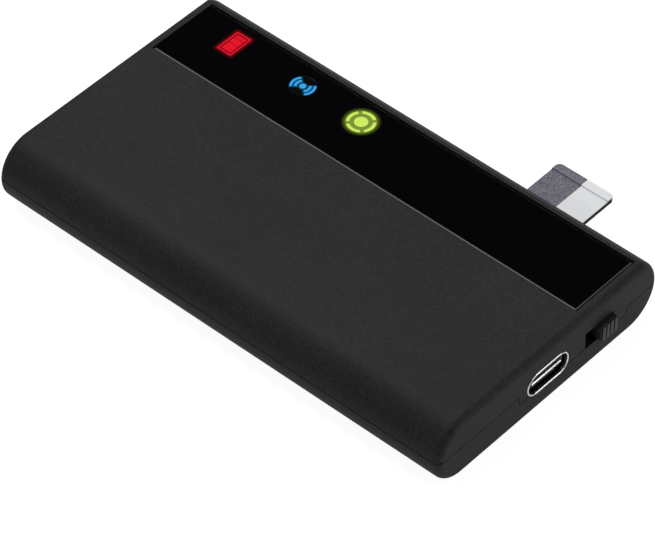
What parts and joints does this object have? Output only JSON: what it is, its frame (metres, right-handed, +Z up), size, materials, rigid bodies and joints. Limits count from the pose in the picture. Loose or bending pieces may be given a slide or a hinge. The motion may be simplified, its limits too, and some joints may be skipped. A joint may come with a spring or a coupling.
{
  "type": "portable aviation gps",
  "caption": "Slim pocket satellite receiver for a flight deck: rounded slab housing, glossy status window with lit icons, charging port, power slide switch and memory card slot.",
  "frame": {"origin": "centre of the flat underside, in the plane the part rests on", "axes": "+X along the length towards the end with the charging port and the switch, +Y across the width towards the memory card edge, +Z up through the window"},
  "size_m": [0.0891, 0.0594, 0.0114],
  "materials": {
    "housing_black": "fine soft-touch grain",
    "lens_black": "polished",
    "foam_tape": "matt",
    "icon_red": "lit diffuser",
    "icon_blue": "lit diffuser",
    "icon_green": "lit diffuser",
    "white_plastic": "moulded",
    "led_clear": "clear cap",
    "board_green": "solder mask over copper",
    "antenna_ceramic": "fired, unglazed",
    "silver_plating": "plated",
    "steel": "tinned sheet",
    "port_steel": "bright drawn shell",
    "gold_contact": "gold plated",
    "chip_black": "moulded epoxy",
    "ceramic_chip": "fired, tinned ends",
    "pouch_foil": "heat-sealed foil",
    "lead_red": "soft insulation",
    "lead_black": "soft insulation",
    "dark_plastic": "moulded",
    "amber_plastic": "moulded",
    "card_black": "moulded epoxy",
    "card_print": "two-tone print"
  },
  "bodies": {
    "housing": {"upper_shell": "housing_black", "lower_shell": "housing_black", "window_lens": "lens_black", "window_adhesive": "foam_tape", "battery_icon": "icon_red", "radio_icon": "icon_blue", "position_icon": "icon_green", "light_block": "white_plastic", "battery_led": "led_clear", "radio_led": "led_clear", "position_led": "led_clear", "main_board": "board_green", "antenna_ceramic": "antenna_ceramic", "antenna_plate": "silver_plating", "antenna_pin": "silver_plating", "receiver_shield": "steel", "receiver_chip": "chip_black", "radio_chip": "chip_black", "processor_chip": "chip_black", "storage_chip": "chip_black", "charger_chip": "chip_black", "radio_antenna": "ceramic_chip", "small_parts": "ceramic_chip", "battery_cell": "pouch_foil", "battery_pad": "foam_tape", "battery_socket": "white_plastic", "battery_lead_red": "lead_red", "battery_lead_black": "lead_black", "port_shell": "port_steel", "port_tongue": "dark_plastic", "port_contacts": "gold_contact", "switch_frame": "steel", "switch_base": "amber_plastic", "switch_terminals": "gold_contact", "card_socket_base": "dark_plastic", "card_socket_cover": "steel", "card_socket_contacts": "gold_contact", "eject_spring": "steel", "case_screws": "steel"},
    "switch_slider": {"switch_knob": "dark_plastic", "switch_actuator": "dark_plastic", "switch_wiper": "gold_contact"},
    "memory_card": {"card_body": "card_black", "card_label": "card_print", "card_contacts": "gold_contact"},
    "ejector": {"eject_slider": "dark_plastic"}
  },
  "joints": [
    {"name": "switch_slide", "type": "slide", "parent": "housing", "child": "switch_slider", "axis": [0, 1, 0], "range_m": [-0.0022, 0]},
    {"name": "card_slide", "type": "slide", "parent": "housing", "child": "memory_card", "axis": [0, 1, 0], "range_m": [-0.0095, 0.006]},
    {"name": "eject_slide", "type": "slide", "parent": "housing", "child": "ejector", "axis": [0, 1, 0], "range_m": [-0.0009, 0], "stiffness_N_per_m": 40, "deforming": ["eject_spring"]}
  ]
}
